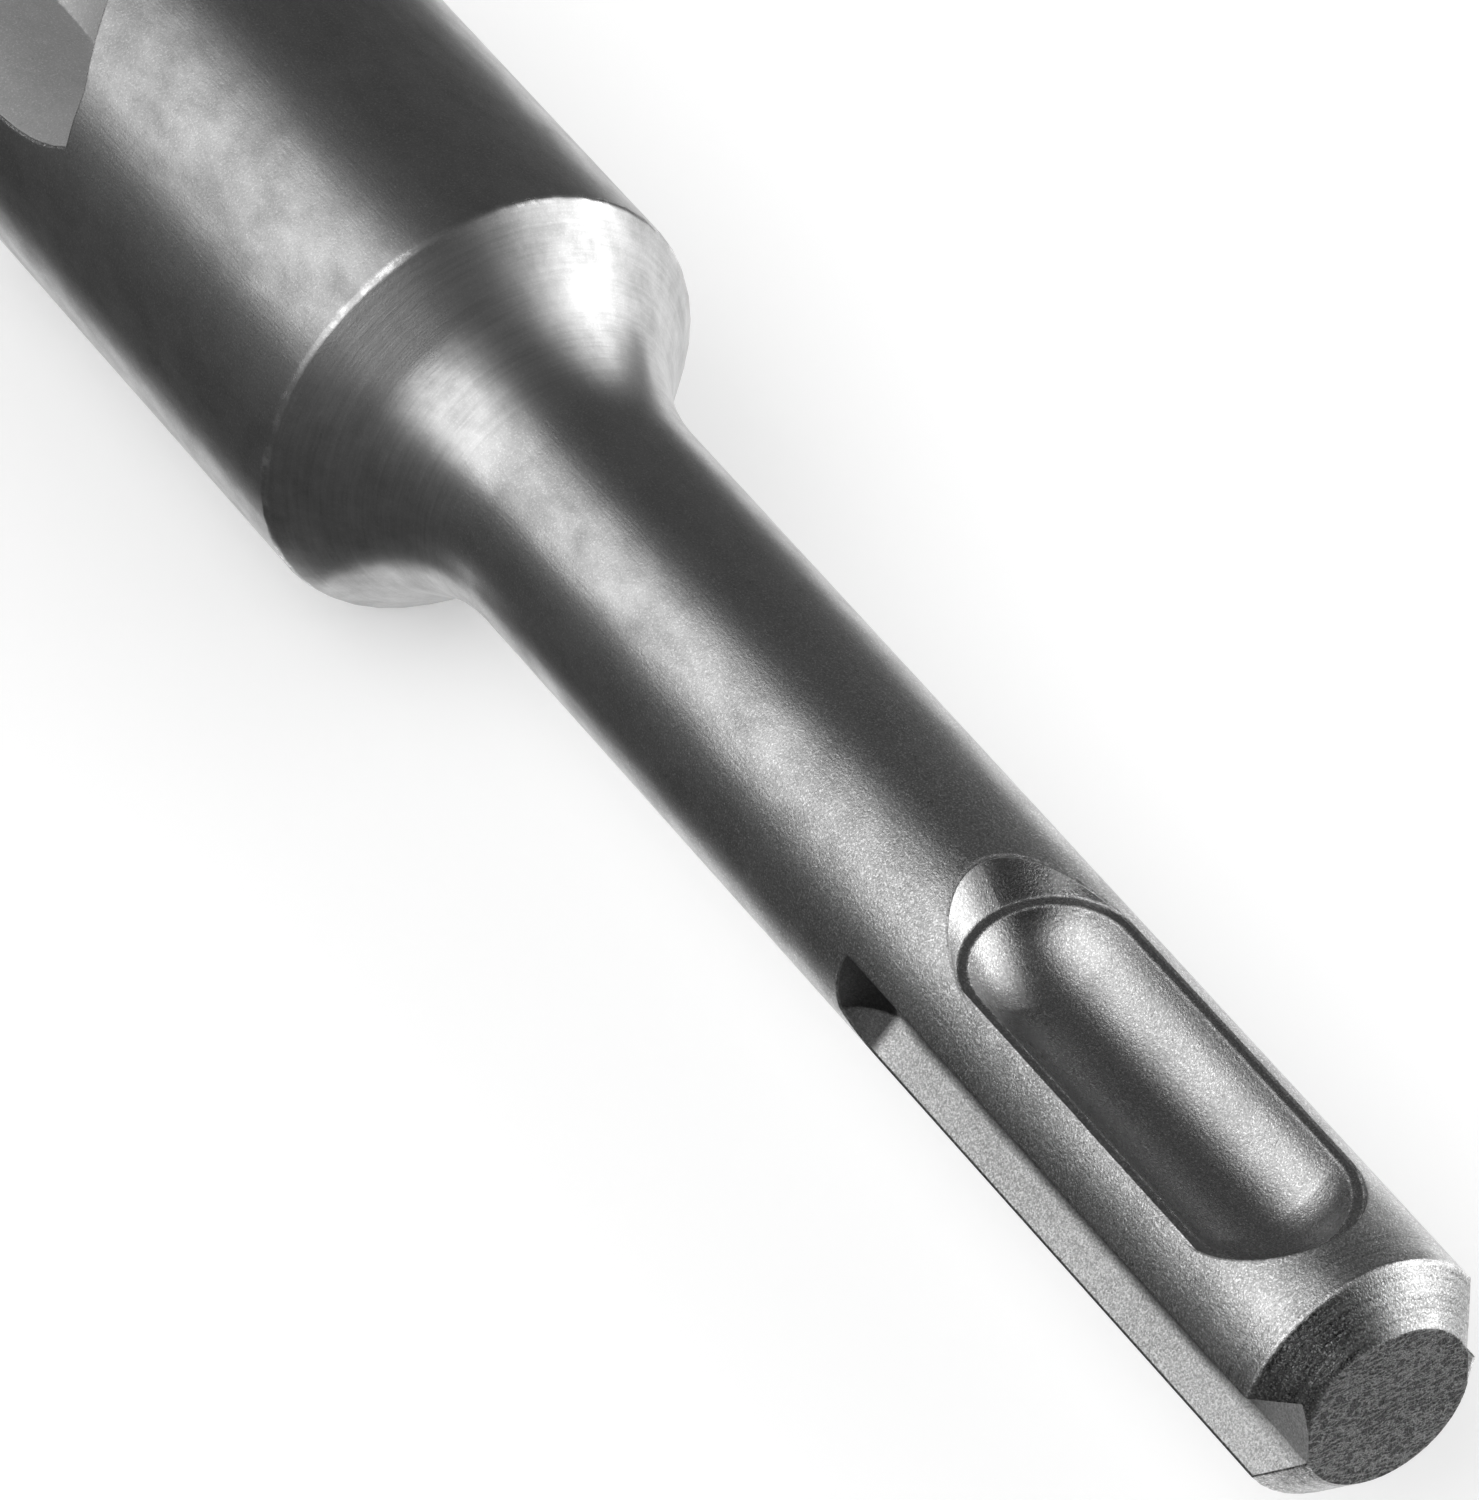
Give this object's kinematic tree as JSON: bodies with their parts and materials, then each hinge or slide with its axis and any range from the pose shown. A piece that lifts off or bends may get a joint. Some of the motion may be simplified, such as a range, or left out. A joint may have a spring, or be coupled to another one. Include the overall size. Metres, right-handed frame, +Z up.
{
  "type": "sds plus drill bit",
  "caption": "Hammer drill bit: slotted round shank with lock pockets and drive grooves, shoulder and collar, two-flute helix, and a brazed hard-metal cutting plate at the point.",
  "frame": {"origin": "centre of the shank's flat end face, on the bit's axis", "axes": "+X runs along the bit's axis to the point, +Z is up with the bit lying as it comes to rest, one lock pocket almost straight up"},
  "size_m": [0.2, 0.0182, 0.0182],
  "materials": {
    "steel": "blasted and worn satin steel",
    "carbide": "ground hard metal",
    "braze": "dull braze"
  },
  "bodies": {
    "root": {"drill_body": "steel", "carbide_tip": "carbide", "braze_seam": "braze"}
  },
  "joints": []
}
